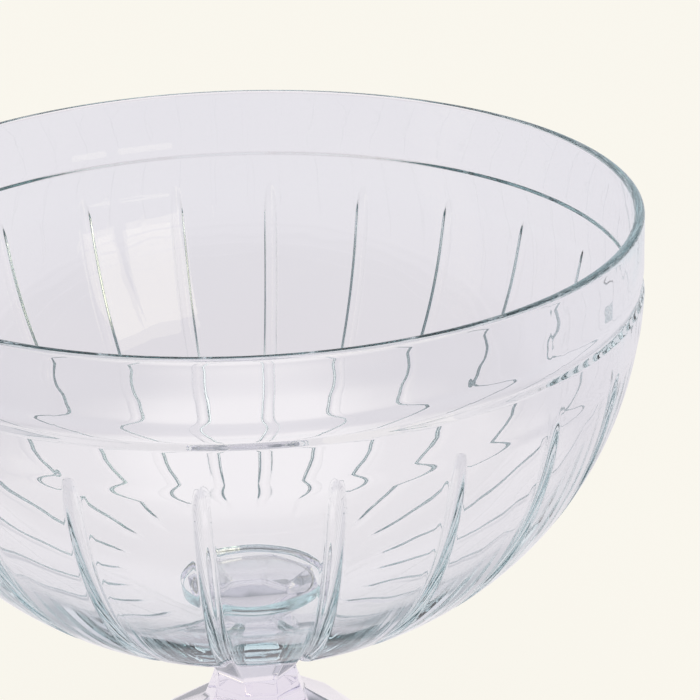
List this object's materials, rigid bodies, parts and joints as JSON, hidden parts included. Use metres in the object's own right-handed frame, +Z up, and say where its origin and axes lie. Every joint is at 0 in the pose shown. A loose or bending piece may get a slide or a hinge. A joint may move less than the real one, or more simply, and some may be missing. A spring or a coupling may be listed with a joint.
{
  "type": "footed trifle bowl",
  "caption": "Clear pressed-glass serving bowl with a plain collar, a beaded edge and a fluted round body, bonded to a short flat-sided stem and a spreading flat-sided foot.",
  "frame": {"origin": "centre of the foot's resting face, on the bowl's axis", "axes": "+Z up along the bowl's axis; a flute faces -Y"},
  "size_m": [0.2324, 0.2324, 0.2],
  "materials": {
    "bowl_glass": "polished",
    "clear_adhesive": "clear",
    "pedestal_glass": "polished"
  },
  "bodies": {
    "root": {"bowl": "bowl_glass", "bond_film": "clear_adhesive", "pedestal": "pedestal_glass"}
  },
  "joints": []
}
